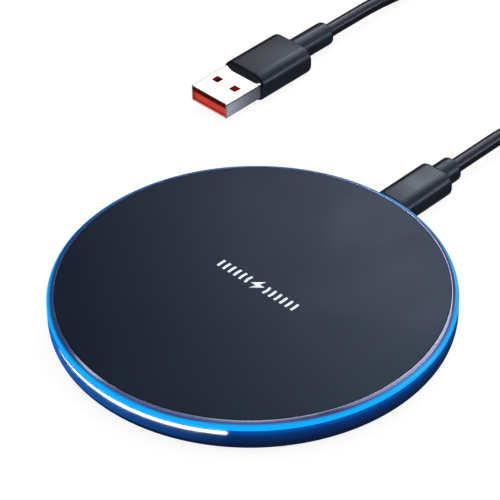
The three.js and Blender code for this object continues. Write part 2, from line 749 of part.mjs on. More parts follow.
// A strap round the winding's section, on the side away from the pad
function windingTie() {
  const sag = WINDING_INNER - Math.sqrt(WINDING_INNER ** 2 - (TIE_WIDTH / 2) ** 2);
  const near = WINDING_CENTRE[1] + WINDING_INNER - sag - LOOSE;
  const far = WINDING_CENTRE[1] + WINDING_OUTER + LOOSE;
  const low = WINDING_BOTTOM - REST;
  const high = WINDING_TOP + LOOSE;
  const strap = roundedRect([far - near, high - low], 0.5);
  const outside = roundedRect(grown([far - near, high - low], TIE_THICKNESS), 0.9);
  return alongX(hollow(outside, strap), WINDING_CENTRE[0] - TIE_WIDTH / 2, WINDING_CENTRE[0] + TIE_WIDTH / 2)
    .translate(0, (near + far) / 2, (low + high) / 2);
}

// ---------------------------------------------------------------- assembly
function addPad() {
  add('top_panel', topPanel(), panelBlack());
  add('trim_ring', trimRing(), polishedTrim());
  add('light_ring', lightRing(), litAcrylic());
  add('bottom_case', bottomCase(), caseBlack());
  add('foot_ring', footRing(), footSilicone());
  SCREW_PLACES.forEach(([x, y], i) => {
    add(`case_screw_${i + 1}`, caseScrew().translate(x, y, 0), plainSteel());
  });
  add('coil_carrier', coilCarrier(), carrierPlastic());
  add('panel_tape', panelTape(), tapeWhite());
  add('transmit_coil', transmitCoil(), copperWire());
  add('coil_inner_lead', innerLead(), copperWire());
  add('coil_outer_lead', outerLead(), copperWire());
  add('ferrite_shield', ferriteShield(), ferriteGrey());
  add('foam_spacer', foamSpacer(), foamGrey());
  add('thermistor', thermistor(), chipBlack());
  add('main_board', mainBoard(), boardGreen());
  addComponents();
  add('receptacle_shell', receptacleShell(), plainSteel());
  add('receptacle_tongue', receptacleTongue(), contactBlack());
}

function addCable() {
  add('usb_c_shell', cShell(), plainSteel());
  add('usb_c_contact_block', cContactBlock(), contactBlack());
  add('usb_c_overmould', cOvermould(), plugBlack());
  const cRelief = reliefSleeve(C_RELIEF_DIAMETER, C_RELIEF_LENGTH, 0.6);
  add('usb_c_strain_relief', cRelief, plugBlack()).position.set(0, C_RELIEF_START, PORT_Z);
  add('cord_pad_side', cordFromPad(), cordBlack());
  add('cord_winding', cordWinding(), cordBlack());
  add('cord_plug_side', cordToPlug(), cordBlack());
  add('winding_tie', windingTie(), tieBlack());
  const aRelief = reliefSleeve(A_RELIEF_DIAMETER, A_RELIEF_LENGTH, 0.9);
  add('usb_a_strain_relief', aRelief, plugBlack()).position.set(A_PLUG_X, A_RELIEF_START, A_Z);
  add('usb_a_overmould', aOvermould(), plugBlack());
  add('usb_a_shell', aShell(), plainSteel());
  add('usb_a_tongue', aTongue(), tongueRed());
  [-3.5, -1, 1, 3.5].forEach((x, i) => {
    add(`usb_a_contact_${i + 1}`, aContact(x), contactGold());
  });
}

addPad();
addCable();

export default object;
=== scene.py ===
# %% [markdown]
# # A wireless charging pad and its cable
#
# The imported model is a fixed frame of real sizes: a round pad 90 mm across, a plug moulded
# on each end of one cable, and everything that the pad holds inside. This script keeps that
# frame and gives it its looks. Everything is in metres, +Z is up, and +Y runs from the
# middle of the pad to its port.

# %% Load the frame
import json
from math import pi, radians, tau

import bmesh
import bpy
import numpy as np
from mathutils import Matrix, Vector


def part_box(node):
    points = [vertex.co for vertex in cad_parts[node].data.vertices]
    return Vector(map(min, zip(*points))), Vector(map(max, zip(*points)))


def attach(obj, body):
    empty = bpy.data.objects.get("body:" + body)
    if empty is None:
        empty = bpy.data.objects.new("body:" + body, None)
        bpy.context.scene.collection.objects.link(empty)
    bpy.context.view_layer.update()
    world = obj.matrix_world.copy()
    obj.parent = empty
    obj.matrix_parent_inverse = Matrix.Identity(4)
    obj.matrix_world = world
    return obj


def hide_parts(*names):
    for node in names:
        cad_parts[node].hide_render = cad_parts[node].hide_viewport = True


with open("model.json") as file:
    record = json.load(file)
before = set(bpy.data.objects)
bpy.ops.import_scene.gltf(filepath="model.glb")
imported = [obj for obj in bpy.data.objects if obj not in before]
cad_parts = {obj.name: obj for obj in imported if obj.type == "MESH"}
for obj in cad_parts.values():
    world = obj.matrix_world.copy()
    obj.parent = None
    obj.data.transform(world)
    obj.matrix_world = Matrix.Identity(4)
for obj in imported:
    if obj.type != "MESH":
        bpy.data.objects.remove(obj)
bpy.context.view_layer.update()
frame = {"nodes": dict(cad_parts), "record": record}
MM = 0.001
HAIR = 0.001 * MM  # keeps fully round sides and sharp corners from closing to nothing

# %% [markdown]
# ## Camera
#
# A product picture is taken from far away with a long lens, so that circles stay even
# ellipses. The camera stands at 45 degrees between the pad's front and right side, about
# 40 degrees up, with a 180 mm lens, and leans a little to its right.

# %% Place the camera
CAMERA_PLACE = Vector((0.2981, -0.2981, 0.3530))
CAMERA_AIM = Vector((-0.0161, 0.0155, 0))
CAMERA_LEAN = radians(-1.08)
LENS = 180


def add_camera():
    """Turn = the track from the place to the aim, then the lean about the line of sight."""
    data = bpy.data.cameras.new("camera")
    data.lens = LENS
    data.clip_start = 0.01
    data.clip_end = 20
    camera = bpy.data.objects.new("camera", data)
    track = (CAMERA_AIM - CAMERA_PLACE).to_track_quat("-Z", "Y").to_matrix().to_4x4()
    camera.matrix_world = Matrix.Translation(CAMERA_PLACE) @ track @ Matrix.Rotation(CAMERA_LEAN, 4, "Z")
    bpy.context.collection.objects.link(camera)
    bpy.context.scene.camera = camera
    return camera


camera = add_camera()
print("camera is", round((CAMERA_PLACE - CAMERA_AIM).length, 3), "m from its aim")

# %% [markdown]
# ## The cable's route
#
# The cable leaves the small plug straight, falls to the table within a few diameters and
# runs back from the pad. Most of its metre is put away in a neat winding: three turns side
# by side on the table, then three more on top of them, so both ends leave on the outside.
# A Bezier curve with automatic handles passes through every point, so the route can be
# written as listed points, and the winding as a formula.

# %% Cord sizes and the two loose stretches
CORD_DIAMETER = 0.0036
CORD_LYING = 0.00185
WINDING_CENTRE = (-0.026, 0.168)
WINDING_RADII = (0.0252, 0.0216, 0.018)
LOW_LAYER = 0.00225
HIGH_LAYER = LOW_LAYER + CORD_DIAMETER
MEETING = 0.0138
CORD_INSIDE = 0.0015
BEVEL_STEPS = 8
CURVE_STEPS = 10

small_relief_low, small_relief_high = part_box("usb_c_strain_relief")
big_relief_low, big_relief_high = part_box("usb_a_strain_relief")
PORT_Z = (small_relief_low.z + small_relief_high.z) / 2
PLUG_X = (big_relief_low.x + big_relief_high.x) / 2
PLUG_Z = (big_relief_low.z + big_relief_high.z) / 2

FROM_PAD = [
    (0, small_relief_high.y - CORD_INSIDE, PORT_Z),
    (0, 0.076, PORT_Z),
    (0, 0.084, PORT_Z - 0.0001),
    (0.0002, 0.092, 0.0030),
    (0.0005, 0.100, 0.0022),
    (0.0009, 0.108, CORD_LYING),
    (0.0012, 0.117, CORD_LYING),
    (0.0011, 0.127, CORD_LYING),
    (0.0004, 0.137, CORD_LYING + 0.0001),
    (-0.0004, 0.146, CORD_LYING + 0.0003),
    (-0.0008, WINDING_CENTRE[1] - MEETING, LOW_LAYER),
]
TO_PLUG = [
    (-0.0512, WINDING_CENTRE[1] - MEETING, HIGH_LAYER),
    (-0.0526, 0.147, CORD_LYING + 0.0029),
    (-0.0552, 0.140, CORD_LYING + 0.0016),
    (-0.0580, 0.1325, CORD_LYING + 0.0006),
    (-0.0597, 0.1255, CORD_LYING + 0.0001),
    (-0.0603, 0.119, 0.0023),
    (PLUG_X, 0.112, 0.0031),
    (PLUG_X, 0.105, PLUG_Z - 0.0001),
    (PLUG_X, 0.097, PLUG_Z),
    (PLUG_X, big_relief_high.y - CORD_INSIDE, PLUG_Z),
]
print("loose stretches:", len(FROM_PAD) + len(TO_PLUG), "points")

# %% The winding between them
TURNS = 5.5
POINTS_PER_TURN = 16
CROSSING = 60  # degrees in which the cord moves over by one diameter


def eased(angle, start):
    """0 before start, 1 after start + CROSSING, and the smooth step 3t^2 - 2t^3 between."""
    t = np.clip((angle - start) / CROSSING, 0, 1)
    return t * t * (3 - 2 * t)


def winding_points():
    """Radius = the outer turn's, less a diameter after each low turn, plus one after each
    high turn; height = the low layer's, plus a diameter where the third turn climbs."""
    angle = np.linspace(0, 360 * TURNS, round(TURNS * POINTS_PER_TURN) + 1)
    inward = eased(angle, 360 - CROSSING) + eased(angle, 720 - CROSSING)
    climb = eased(angle, 1080 - 2 * CROSSING)
    outward = eased(angle, 1440 - 3 * CROSSING) + eased(angle, 1800 - 3 * CROSSING)
    radius = WINDING_RADII[0] - CORD_DIAMETER * (inward - outward)
    turned = np.radians(angle)
    x = WINDING_CENTRE[0] + radius * np.cos(turned)
    y = WINDING_CENTRE[1] + radius * np.sin(turned)
    return np.stack([x, y, LOW_LAYER + CORD_DIAMETER * climb], axis=1)


def add_cord(name, points, diameter):
    """One open Bezier spline through the points, with a round bevel. The cord's radius is
    on the points and the bevel is 1, because a curve's box grows by its points' radius."""
    curve = bpy.data.curves.new(name, "CURVE")
    curve.dimensions = "3D"
    curve.bevel_depth = 1
    curve.bevel_resolution = BEVEL_STEPS
    curve.resolution_u = CURVE_STEPS
    curve.use_fill_caps = True
    spline = curve.splines.new("BEZIER")
    spline.bezier_points.add(len(points) - 1)
    spline.bezier_points.foreach_set("co", np.asarray(points, np.float32).ravel())
    spline.bezier_points.foreach_set("radius", np.full(len(points), diameter / 2, np.float32))
    for point in spline.bezier_points:
        point.handle_left_type = "AUTO"
        point.handle_right_type = "AUTO"
    cord = bpy.data.objects.new(name, curve)
    bpy.context.collection.objects.link(cord)
    return cord


route = np.concatenate([FROM_PAD, winding_points(), TO_PLUG])
cord = add_cord("cord", route, CORD_DIAMETER)
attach(cord, "cable")
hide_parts("cord_pad_side", "cord_winding", "cord_plug_side")
print("cord:", len(route), "points, through", TURNS, "turns")

# %% [markdown]
# ## Surfaces from arrays
#
# Nearly everything here is either turned on a lathe or pushed through a die, so two kinds
# of surface are enough. A turned piece is a profile carried round an axis. A moulded piece
# is a rounded outline carried along its length while it shrinks near the ends. Both are
# grids of points that numpy works out at once, and one function makes the mesh.

# %% Grids to meshes
TURN_STEPS = 320
SHARP = radians(32)
DOUBLES_WITHIN = 1e-7
NO_LENGTH = 1e-12


def grid_faces(rows, columns, around):
    """Quads between neighbours on a grid that closes on itself along its columns, and
    along its rows too when around is true."""
    last = rows if around else rows - 1
    row, column = np.meshgrid(np.arange(last), np.arange(columns), indexing="ij")
    next_row = (row + 1) % rows
    next_column = (column + 1) % columns
    corners = [row * columns + column, row * columns + next_column,
               next_row * columns + next_column, next_row * columns + column]
    return np.stack(corners, axis=-1).reshape(-1, 4)


def add_mesh(name, points, faces):
    """A closed, smooth-shaded mesh with its doubles merged and its faces pointing out."""
    mesh = bpy.data.meshes.new(name)
    mesh.from_pydata(np.asarray(points).reshape(-1, 3).tolist(), [], [list(face) for face in faces])
    work = bmesh.new()
    work.from_mesh(mesh)
    bmesh.ops.remove_doubles(work, verts=work.verts, dist=DOUBLES_WITHIN)
    bmesh.ops.recalc_face_normals(work, faces=work.faces)
    work.to_mesh(mesh)
    work.free()
    return add_object(name, mesh)


def add_object(name, mesh):
    """Shows a mesh smooth, with its edges over 32 degrees kept sharp."""
    mesh.shade_smooth()
    mesh.set_sharp_from_angle(angle=SHARP)
    piece = bpy.data.objects.new(name, mesh)
    bpy.context.collection.objects.link(piece)
    return piece


def turned(name, profile, centre=(0, 0, 0), along="Z", around=False, steps=TURN_STEPS):
    """Point = centre + (r cos u, r sin u) across the axis + h along it, for each radius r
    and height h of the profile. The profile starts and ends on the axis, or closes when
    around is true."""
    radius, height = np.asarray(profile, float).T
    u = np.linspace(0, tau, steps, endpoint=False)
    across = radius[:, None] * np.cos(u), radius[:, None] * np.sin(u)
    up = np.broadcast_to(height[:, None], across[0].shape)
    order = {"Z": (across[0], across[1], up), "Y": (across[0], up, across[1])}[along]
    points = np.stack(order, axis=-1) + np.asarray(centre)
    return add_mesh(name, points, grid_faces(len(radius), steps, around))


def softened(corners, cut, steps=6):
    """Each corner C is replaced by the curve (1-t)^2 A + 2t(1-t) C + t^2 B, from A, a cut
    before it, to B, a cut after it. cut is one length or one for each corner."""
    corners = np.asarray(corners, float)
    cut = np.broadcast_to(np.asarray(cut, float), len(corners))[:, None]
    before = np.roll(corners, 1, axis=0) - corners
    after = np.roll(corners, -1, axis=0) - corners
    start = corners + before * cut / np.maximum(np.linalg.norm(before, axis=1), NO_LENGTH)[:, None]
    end = corners + after * cut / np.maximum(np.linalg.norm(after, axis=1), NO_LENGTH)[:, None]
    t = np.linspace(0, 1, steps)[None, :, None]
    curve = (1 - t) ** 2 * start[:, None] + 2 * t * (1 - t) * corners[:, None] + t * t * end[:, None]
    return curve.reshape(-1, 2)


print("a turned piece has", TURN_STEPS, "steps round")

# %% Rounded outlines carried along a length
CORNER_STEPS = 14


def outline(width, height, corner, inset=0):
    """Four quarter circles, one about each corner's middle: point = middle + (corner -
    inset) (cos a, sin a)."""
    a = np.linspace(0, pi / 2, CORNER_STEPS)[None, :] + np.arange(4)[:, None] * pi / 2
    middle_x = np.array([1, -1, -1, 1])[:, None] * (width / 2 - corner)
    middle_y = np.array([1, 1, -1, -1])[:, None] * (height / 2 - corner)
    radius = max(corner - inset, HAIR)
    return np.stack([middle_x + radius * np.cos(a), middle_y + radius * np.sin(a)], axis=-1).reshape(-1, 2)


def stacked(outlines, levels, centre, along):
    """Lays one outline at each level along an axis: a grid of levels by outline points."""
    flat = np.stack(outlines)
    level = np.broadcast_to(np.asarray(levels, float)[:, None], flat.shape[:2])
    order = {"Y": (flat[..., 0], level, flat[..., 1]), "X": (level, flat[..., 0], flat[..., 1]),
             "Z": (flat[..., 0], flat[..., 1], level)}[along]
    return np.stack(order, axis=-1) + np.asarray(centre)


def lofted(name, outlines, levels, centre, along="Y"):
    """A skin over the stacked outlines, closed with a flat face at each end."""
    points = stacked(outlines, levels, centre, along)
    rows, columns = points.shape[:2]
    faces = grid_faces(rows, columns, False).tolist()
    faces.append(list(range(columns)))
    faces.append(list(range((rows - 1) * columns, rows * columns)))
    return add_mesh(name, points, faces)


def sleeve(name, outer, inner, start, end, centre, along="Y", edge=0.00008):
    """A tube with walls: out along the outer outline, in along the inner one, with its
    four edges broken by a small flat."""
    insets = (edge, 0, 0, edge)
    outers = [outline(*outer, inset=inset) for inset in insets]
    inners = [outline(*inner, inset=-inset) for inset in insets]
    levels = [start, start + edge, end - edge, end, end, end - edge, start + edge, start]
    points = stacked(outers + inners, levels, centre, along)
    return add_mesh(name, points, grid_faces(len(levels), points.shape[1], True))


print("an outline has", 4 * CORNER_STEPS, "points")

# %% Cutting and joining
def prism(name, shape, start, end, centre=(0, 0, 0), along="Y"):
    """A straight bar of one outline."""
    return lofted(name, [shape, shape], [start, end], centre, along)


def combined(piece, tools, operation):
    """Joins the tools to a piece or cuts them from it, one after the other, with exact
    booleans that are applied, and throws the tools away."""
    for tool in tools:
        modifier = piece.modifiers.new("combine", "BOOLEAN")
        modifier.operation = operation
        modifier.solver = "EXACT"
        modifier.object = tool
        depsgraph = bpy.context.evaluated_depsgraph_get()
        mesh = bpy.data.meshes.new_from_object(piece.evaluated_get(depsgraph))
        piece.modifiers.clear()
        piece.data = mesh
        bpy.data.objects.remove(tool)
    piece.data.shade_smooth()
    piece.data.set_sharp_from_angle(angle=SHARP)
    return piece


def settle(piece, body, slot, *nodes):
    """Rides a piece on its body, in place of its CAD nodes, with its finish."""
    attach(piece, body)
    if nodes:
        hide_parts(*nodes)
    piece.data.materials.clear()
    piece.data.materials.append(FINISHES[slot])
    return piece


# %% [markdown]
# ## Finishes
#
# Each finish is one Principled shader. What is the same all over is set on its sockets.
# What changes over the surface, such as grain, mottle or uneven gloss, comes from noise in
# Object coordinates, so it is the same size on every piece and stays put when a piece moves.

# %% Helpers for finishes
FINISHES = {}


def finish(slot, **sockets):
    """A Principled material for a slot. Each keyword names a socket, with _ for a space."""
    material = bpy.data.materials.new(slot)
    material.use_nodes = True
    shader = material.node_tree.nodes["Principled BSDF"]
    for name, value in sockets.items():
        socket = shader.inputs[name.replace("_", " ").title().replace("Ior", "IOR")]
        socket.default_value = (*value, 1) if isinstance(value, tuple) else value
    FINISHES[slot] = material
    return material.node_tree


def place(tree, stretch=(1, 1, 1)):
    """Object coordinates, stretched along each axis."""
    coordinates = tree.nodes.new("ShaderNodeTexCoord")
    mapping = tree.nodes.new("ShaderNodeMapping")
    mapping.inputs["Scale"].default_value = stretch
    tree.links.new(coordinates.outputs["Object"], mapping.inputs["Vector"])
    return mapping.outputs["Vector"]


def noise(tree, size, detail=3, stretch=(1, 1, 1)):
    """Smooth noise whose blotches are about size metres across."""
    node = tree.nodes.new("ShaderNodeTexNoise")
    node.inputs["Scale"].default_value = 1 / size
    node.inputs["Detail"].default_value = detail
    tree.links.new(place(tree, stretch), node.inputs["Vector"])
    return node.outputs["Fac"]


def spread(tree, value, low, high, start=0.3, end=0.7):
    """Carries a value from start..end over to low..high."""
    node = tree.nodes.new("ShaderNodeMapRange")
    for name, number in (("From Min", start), ("From Max", end), ("To Min", low), ("To Max", high)):
        node.inputs[name].default_value = number
    tree.links.new(value, node.inputs["Value"])
    return node.outputs["Result"]


def tinted(tree, value, *stops, socket="Base Color"):
    """Colours a socket by a value, through (position, colour) stops."""
    ramp = tree.nodes.new("ShaderNodeValToRGB")
    elements = ramp.color_ramp.elements
    while len(elements) < len(stops):
        elements.new(0.5)
    for element, (position, colour) in zip(elements, stops):
        element.position = position
        element.color = (*colour, 1)
    tree.links.new(value, ramp.inputs["Fac"])
    tree.links.new(ramp.outputs["Color"], tree.nodes["Principled BSDF"].inputs[socket])


def uneven_gloss(tree, value, low, high):
    """Roughness that wanders between low and high with a value."""
    shader = tree.nodes["Principled BSDF"]
    tree.links.new(spread(tree, value, low, high), shader.inputs["Roughness"])


def bumped(tree, depth, *values):
    """Raises the surface by up to depth metres where each value is high, one over another."""
    normal = None
    for value in values:
        node = tree.nodes.new("ShaderNodeBump")
        node.inputs["Distance"].default_value = depth
        tree.links.new(value, node.inputs["Height"])
        if normal:
            tree.links.new(normal, node.inputs["Normal"])
        normal = node.outputs["Normal"]
    tree.links.new(normal, tree.nodes["Principled BSDF"].inputs["Normal"])


def mottled(slot, size, detail, dark, light, gloss=None, depth=None, stretch=(1, 1, 1), **sockets):
    """A finish with one noise in it. The colour runs from dark to light with the noise, and
    so do its roughness and height where a range or a depth is given."""
    tree = finish(slot, **sockets)
    value = noise(tree, size, detail, stretch)
    tinted(tree, value, (0.3, dark), (0.7, light))
    if gloss:
        uneven_gloss(tree, value, *gloss)
    if depth:
        bumped(tree, depth, value)
    return tree


def computed(tree, operation, *values):
    """One arithmetic step on values or numbers."""
    node = tree.nodes.new("ShaderNodeMath")
    node.operation = operation
    for socket, value in zip(node.inputs, values):
        if isinstance(value, (int, float)):
            socket.default_value = value
        else:
            tree.links.new(value, socket)
    return node.outputs["Value"]


def coordinate(tree, axis):
    """One of a point's Object coordinates, in metres."""
    node = tree.nodes.new("ShaderNodeSeparateXYZ")
    tree.links.new(place(tree), node.inputs["Vector"])
    return node.outputs[axis]


# %% [markdown]
# ### The pad's finishes
#
# The panel is a soft-touch plate, nearly black and slightly blue. Its fine grain breaks up
# reflections into a broad sheen. The chamfer round it is polished metal, with a faint blue
# glow that is a painted reflection of the lit ring. The case is glossy blue-black plastic,
# and the light guide's skirt runs down inside its wall. The case is given a painted blue
# glow, brightest along its top edge under the lit ring and fading to black towards its foot.

# %% Panel, chamfer and foot
tree = mottled("panel_matte", 0.012, 3, (0.004, 0.012, 0.031), (0.006, 0.015, 0.037), gloss=(0.40, 0.46),
               roughness=0.42, base_color=(0.005, 0.013, 0.034), specular_tint=(0.37, 0.49, 0.78))
bumped(tree, 0.000004, noise(tree, 0.00018, 2))
# The polished ring's faint blue emission is a painted reflection of the lit ring's glow.
mottled("trim_polished", 0.0006, 3, (0.59, 0.60, 0.80), (0.69, 0.69, 0.88), gloss=(0.12, 0.22),
        metallic=1.0, roughness=0.16, base_color=(0.64, 0.64, 0.84),
        emission_color=(0.018, 0.035, 0.10), emission_strength=1.0)
mottled("foot_silicone", 0.0003, 4, (0.016, 0.016, 0.018), (0.027, 0.027, 0.03), depth=0.00001,
        roughness=0.8, base_color=(0.02, 0.02, 0.022))
print("finishes:", *FINISHES)

# %% [markdown]
# ### Light
#
# Eight small LEDs shine into an acrylic ring. The ring sends most of the light out
# sideways, so its outer face is the brightest and its shoulder fades towards the top. Just
# over each LED the ring is a little brighter. The glow depends only on height and on the
# angle round the pad, so it is the same from every side.

# %% The lit ring and the case
RING_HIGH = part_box("light_ring")[1].z
CASE_LOW, CASE_HIGH = (corner.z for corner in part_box("bottom_case"))
LED_COUNT = 8
BAND_INNER = 44.12 * MM  # inside this the light ring is masked by black print


def distance_out(tree):
    """A point's distance from the pad's middle line, sqrt(x^2 + y^2)."""
    squares = [computed(tree, "POWER", coordinate(tree, axis), 2) for axis in ("X", "Y")]
    return computed(tree, "SQRT", computed(tree, "ADD", *squares))


def glow_over_leds(tree, least):
    """least + (1 - least) (1 + cos(8 angle + pi)) / 2, brightest at the angle of each LED."""
    angle = computed(tree, "ARCTAN2", coordinate(tree, "Y"), coordinate(tree, "X"))
    wave = computed(tree, "COSINE", computed(tree, "MULTIPLY_ADD", angle, LED_COUNT, pi))
    return spread(tree, wave, least, 1, -1, 1)


def make_ring_finish():
    tree = finish("light_acrylic", roughness=0.12, base_color=(0.01, 0.06, 0.20),
                  specular_ior_level=0.25, emission_strength=1.0)
    height = spread(tree, coordinate(tree, "Z"), 0, 1, CASE_HIGH, RING_HIGH)
    dimmed = computed(tree, "SUBTRACT", height, spread(tree, glow_over_leds(tree, 0), 0.06, 0, 0, 1))
    masked = spread(tree, distance_out(tree), 1, 0, BAND_INNER, BAND_INNER + 0.1 * MM)
    value = computed(tree, "MAXIMUM", dimmed, masked)
    tinted(tree, value, (0.0, (0.0, 0.40, 1.0)), (0.75, (0.0, 0.41, 1.0)), (0.92, (0.0, 0.22, 0.60)),
           (1.0, (0.0, 0.012, 0.06)), socket="Emission Color")


def make_case_finish_with_painted_glow():
    tree = finish("case_gloss", roughness=0.16, base_color=(0.006, 0.009, 0.02),
                  specular_ior_level=0.22, emission_strength=1.0)
    height = spread(tree, coordinate(tree, "Z"), 0, 1, CASE_LOW, CASE_HIGH)
    # The emission colour paints a blue glow on the case wall, brightest at its top edge under the lit ring
    # and black towards the foot: painted light.
    tinted(tree, height, (0.0, (0.0, 0.0, 0.0)), (0.35, (0.0, 0.005, 0.024)), (0.75, (0.0, 0.024, 0.125)),
           (1.0, (0.0, 0.085, 0.40)), socket="Emission Color")
    uneven_gloss(tree, noise(tree, 0.004, 3), 0.07, 0.12)


make_ring_finish()
make_case_finish_with_painted_glow()

# %% [markdown]
# ### The cable's finishes
#
# Both plugs are moulded in one satin dark plastic, the cord has a smooth extruded jacket,
# and the plugs' shells are nickel-plated steel. The tongue in the big plug is red-orange,
# with painted light: its front and the block's top, seen through the windows, glow as if
# lit, and the block's face above the tongue is left dark as painted shade.

# %% Plugs, cord, metal and contacts
TONGUE_THICKNESS = 1.9 * MM
PAINTED_LIGHT_SPAN = 4 * MM
BLOCK_DROP = 0.7 * MM  # from the sleeve's inside down to the block behind the tongue


def make_tongue_finish_with_painted_light():
    tree = finish("tongue_red", roughness=0.35, base_color=(0.62, 0.035, 0.010), emission_strength=0.42)
    low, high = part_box("usb_a_tongue")
    lip, top = TONGUE_THICKNESS, high.z - low.z - BLOCK_DROP
    # Painted light and shade: the emission makes the tongue's front and the block's top seen through the
    # windows glow as if lit, and leaves the block's face above the tongue dark.
    stops = [(height / PAINTED_LIGHT_SPAN, (glow, 0.05 * glow, 0.01 * glow)) for height, glow in (
        (lip - 0.1 * MM, 0.62), (lip, 0.03), (top - 0.1 * MM, 0.0), (top - 0.03 * MM, 0.62))]
    up = spread(tree, coordinate(tree, "Z"), 0, 1, low.z, low.z + PAINTED_LIGHT_SPAN)
    tinted(tree, up, *stops, socket="Emission Color")
    mottle = noise(tree, 0.0015, 3)
    tinted(tree, mottle, (0.3, (0.58, 0.03, 0.009)), (0.7, (0.68, 0.045, 0.014)))
    bumped(tree, 0.000006, noise(tree, 0.0002, 2))


tree = mottled("plug_moulding", 0.005, 2, (0.010, 0.014, 0.024), (0.016, 0.021, 0.034), gloss=(0.3, 0.38),
               roughness=0.34, base_color=(0.013, 0.017, 0.028), specular_tint=(0.68, 0.78, 1.0))
bumped(tree, 0.000004, noise(tree, 0.00022, 2))
tree = mottled("cord_jacket", 0.003, 3, (0.007, 0.008, 0.016), (0.011, 0.012, 0.024), gloss=(0.26, 0.36),
               roughness=0.3, base_color=(0.009, 0.010, 0.020), specular_tint=(0.78, 0.82, 1.0))
bumped(tree, 0.00001, noise(tree, 0.0012, 2))
mottled("steel_plain", 0.0004, 3, (0.78, 0.79, 0.83), (0.87, 0.88, 0.90), gloss=(0.10, 0.2),
        stretch=(1, 0.08, 1), metallic=1.0, roughness=0.2, base_color=(0.80, 0.81, 0.85))
mottled("contact_gold", 0.0006, 3, (0.85, 0.68, 0.36), (0.90, 0.80, 0.58), gloss=(0.16, 0.3),
        stretch=(1, 0.2, 1), metallic=1.0, roughness=0.22, base_color=(0.83, 0.62, 0.28))
make_tongue_finish_with_painted_light()
print("finishes:", *FINISHES)

# %% [markdown]
# ### What nobody sees from outside
#
# The pad's insides keep the shapes of the frame. Each still gets the finish that it has on
# the bench, with its own grain: wound copper has a groove for every turn, painted darker
# as shade, ferrite is speckled, foam has cells with hollows painted darker as shade, and a
# circuit board has tracks under its green lacquer.

# %% Coil, ferrite, foam and tape
COIL_PITCH = 0.0011


def make_copper_finish():
    tree = finish("copper_wire", metallic=1.0, roughness=0.34, base_color=(0.48, 0.16, 0.06))
    turns = computed(tree, "SINE", computed(tree, "MULTIPLY", distance_out(tree), tau / COIL_PITCH))
    groove_and_painted_shade = spread(tree, turns, 0, 1, -1, 1)
    # The colour darkens in each groove between turns: painted shade.
    tinted(tree, groove_and_painted_shade, (0.1, (0.22, 0.06, 0.025)), (0.6, (0.52, 0.18, 0.07)))
    bumped(tree, 0.0002, groove_and_painted_shade)


def make_ferrite_finish():
    tree = finish("ferrite", metallic=0.0, roughness=0.55, base_color=(0.045, 0.045, 0.05))
    speckle = noise(tree, 0.0004, 5)
    tinted(tree, speckle, (0.35, (0.03, 0.03, 0.034)), (0.68, (0.075, 0.075, 0.08)))
    uneven_gloss(tree, speckle, 0.45, 0.65)


def make_foam_finish():
    tree = finish("foam", roughness=0.95, base_color=(0.09, 0.095, 0.10))
    cells_and_painted_shade = tree.nodes.new("ShaderNodeTexVoronoi")
    cells_and_painted_shade.inputs["Scale"].default_value = 1 / 0.0006
    tree.links.new(place(tree), cells_and_painted_shade.inputs["Vector"])
    # The colour darkens in the hollow of each cell: painted shade.
    tinted(tree, cells_and_painted_shade.outputs["Distance"], (0.1, (0.05, 0.052, 0.056)), (0.6, (0.12, 0.125, 0.13)))
    bumped(tree, 0.0001, cells_and_painted_shade.outputs["Distance"])


make_copper_finish()
make_ferrite_finish()
make_foam_finish()
mottled("tape_white", 0.0008, 5, (0.72, 0.69, 0.61), (0.84, 0.81, 0.75), stretch=(1, 0.3, 1),
        roughness=0.75, base_color=(0.78, 0.75, 0.68))
print("finishes:", *FINISHES)

# %% Board, chips and small plastics
def make_board_finish():
    tree = finish("board_green", roughness=0.35, base_color=(0.01, 0.08, 0.04))
    tracks = tree.nodes.new("ShaderNodeTexBrick")
    tracks.inputs["Scale"].default_value = 1 / 0.004
    tracks.inputs["Mortar Size"].default_value = 0.09
    tree.links.new(place(tree), tracks.inputs["Vector"])
    tinted(tree, tracks.outputs["Fac"], (0.4, (0.008, 0.07, 0.035)), (0.6, (0.03, 0.16, 0.07)))
    bumped(tree, 0.00004, tracks.outputs["Fac"])


def make_grained_finish(slot, colour, roughness, size, depth):
    """Moulded plastic or fired ceramic: a colour that wanders by a tenth, and a fine grain."""
    darker, lighter = (tuple(part * share for part in colour) for share in (0.9, 1.1))
    mottled(slot, size, 4, darker, lighter, (roughness - 0.06, roughness + 0.06), depth,
            roughness=roughness, base_color=colour)


make_board_finish()
for slot, colour, roughness, size, depth in (
    ("carrier_plastic", (0.68, 0.68, 0.65), 0.5, 0.0008, 0.00001),
    ("chip_black", (0.009, 0.0095, 0.0105), 0.55, 0.0003, 0.000008),
    ("ceramic_tan", (0.46, 0.32, 0.17), 0.45, 0.0005, 0.000006),
    ("led_white", (0.88, 0.86, 0.74), 0.3, 0.0006, 0.000004),
    ("contact_plastic", (0.012, 0.012, 0.014), 0.4, 0.0003, 0.000006),
    ("tie_tape", (0.012, 0.012, 0.015), 0.9, 0.0005, 0.0001),
):
    make_grained_finish(slot, colour, roughness, size, depth)

for part in frame["record"]["subparts"]:
    node = frame["nodes"][part["node"]]
    node.data.materials.clear()
    node.data.materials.append(FINISHES[part["material_slot"]])
cord.data.materials.append(FINISHES["cord_jacket"])

# %% [markdown]
# ## The pad
#
# All five outer pieces are turned. The panel drops into the rim with a hair's gap, the
# polished ring slopes from the panel down to the lit ring, and the case swells from a
# narrow base to its full width in a quarter ellipse, which makes the pad look thinner.

# %% Panel and polished ring
panel_low, panel_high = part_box("top_panel")
PANEL_RADIUS = panel_high.x
PANEL_EDGE = 0.15 * MM
SEAM = 0.2 * MM  # the black line between the panel and the polished ring
RIDGE_FLAT = 0.06 * MM
CHAMFER_DROP = 0.38 * MM


